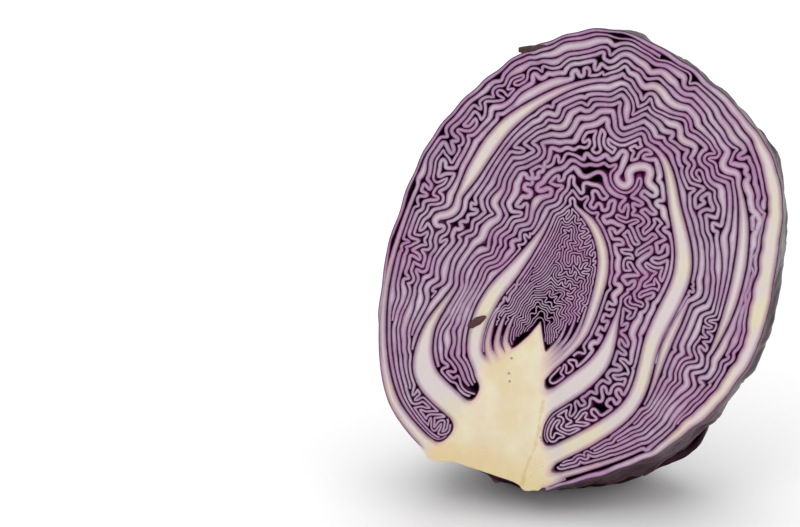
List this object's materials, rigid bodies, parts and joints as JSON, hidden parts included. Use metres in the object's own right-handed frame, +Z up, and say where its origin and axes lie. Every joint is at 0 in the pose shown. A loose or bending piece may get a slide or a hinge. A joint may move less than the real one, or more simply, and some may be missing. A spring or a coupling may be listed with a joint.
{
  "type": "halved red cabbage head",
  "caption": "Red cabbage head cut lengthwise through its core, standing on its base, with folded leaves nested round the core and wrapped by thick outer leaves.",
  "frame": {"origin": "on the ground under the middle of the bounding box of the standing half head", "axes": "+Z up from the resting spot to the crown; -Y is the way the cut face looks, leaning back 11 degrees; +X to the right as the cut face is seen"},
  "size_m": [0.1442, 0.0916, 0.1771],
  "materials": {
    "core_flesh": "moist matt cream",
    "cut_leaf": "satin, pale lilac cut edges with dark purple skins",
    "outer_leaf": "waxy dark purple"
  },
  "bodies": {
    "root": {"core": "core_flesh", "outer_leaf_right": "outer_leaf", "outer_leaf_left": "outer_leaf", "back_leaf": "outer_leaf", "wrapper_leaf_left": "cut_leaf", "leaf_01": "cut_leaf", "leaf_02": "cut_leaf", "leaf_03": "cut_leaf", "leaf_04": "cut_leaf", "petiole_leaf_left": "cut_leaf", "petiole_leaf_right": "cut_leaf", "leaf_05": "cut_leaf", "leaf_06": "cut_leaf", "leaf_07": "cut_leaf", "heart_leaf_left": "cut_leaf", "heart_leaf_right": "cut_leaf", "heart_leaf_01": "cut_leaf", "heart_leaf_02": "cut_leaf", "heart_leaf_03": "cut_leaf"}
  },
  "joints": []
}
